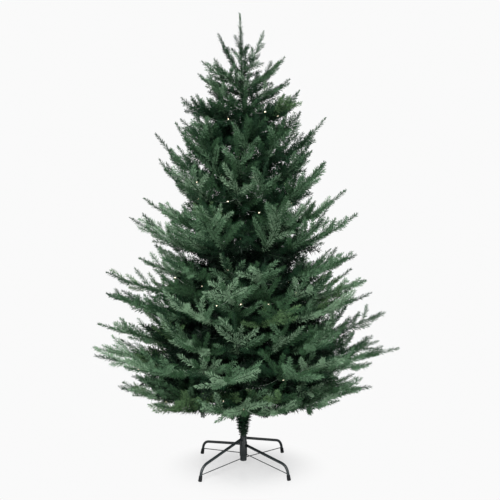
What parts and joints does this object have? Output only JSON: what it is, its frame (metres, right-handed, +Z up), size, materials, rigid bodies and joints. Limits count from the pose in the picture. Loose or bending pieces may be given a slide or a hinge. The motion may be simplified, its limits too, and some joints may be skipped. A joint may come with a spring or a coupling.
{
  "type": "artificial christmas tree",
  "caption": "Full artificial Christmas tree with spreading tiers of boughs and needles, on a folding steel cross stand.",
  "frame": {"origin": "on the floor under the axis of the pole, at the middle of the footprint", "axes": "+Z up the pole, -Y towards the front of the tree, +X to its right as seen from the front"},
  "size_m": [1.4351, 1.4913, 2.1],
  "materials": {
    "stand_metal": "satin enamel, dark green-black",
    "foot_rubber": "matt moulded rubber",
    "pole_metal": "satin enamel, dark green",
    "bough_wire": "twisted wire, dull dark green",
    "needles": "moulded and cut plastic needles, grey-green outside and darker green inside"
  },
  "bodies": {
    "root": {"bough_1_1": "bough_wire", "bough_1_2": "bough_wire", "bough_1_3": "bough_wire", "bough_1_4": "bough_wire", "bough_1_5": "bough_wire", "bough_1_6": "bough_wire", "bough_2_1": "bough_wire", "bough_2_2": "bough_wire", "bough_2_3": "bough_wire", "bough_2_4": "bough_wire", "bough_2_5": "bough_wire", "bough_2_6": "bough_wire", "brace_back_left": "stand_metal", "brace_back_right": "stand_metal", "brace_front_left": "stand_metal", "brace_front_right": "stand_metal", "foot_cap_back_left": "foot_rubber", "foot_cap_back_right": "foot_rubber", "foot_cap_front_left": "foot_rubber", "foot_cap_front_right": "foot_rubber", "leg_back_left": "stand_metal", "leg_back_right": "stand_metal", "leg_front_left": "stand_metal", "leg_front_right": "stand_metal", "mass_1_1": "needles", "mass_1_2": "needles", "mass_1_3": "needles", "mass_1_4": "needles", "mass_1_5": "needles", "mass_1_6": "needles", "mass_2_1": "needles", "mass_2_2": "needles", "mass_2_3": "needles", "mass_2_4": "needles", "mass_2_5": "needles", "mass_2_6": "needles", "mass_3_1": "needles", "mass_3_2": "needles", "mass_3_3": "needles", "mass_3_4": "needles", "mass_3_5": "needles", "mass_4_1": "needles", "mass_4_2": "needles", "mass_4_3": "needles", "mass_4_4": "needles", "mass_5_1": "needles", "mass_5_2": "needles", "mass_5_3": "needles", "mass_5_4": "needles", "mass_6_1": "needles", "mass_6_2": "needles", "mass_6_3": "needles", "mass_7_1": "needles", "mass_7_2": "needles", "mass_7_3": "needles", "mass_top": "needles", "pole": "pole_metal", "pole_wrap": "needles", "stand_hub": "stand_metal", "stand_sleeve": "stand_metal"}
  },
  "joints": []
}
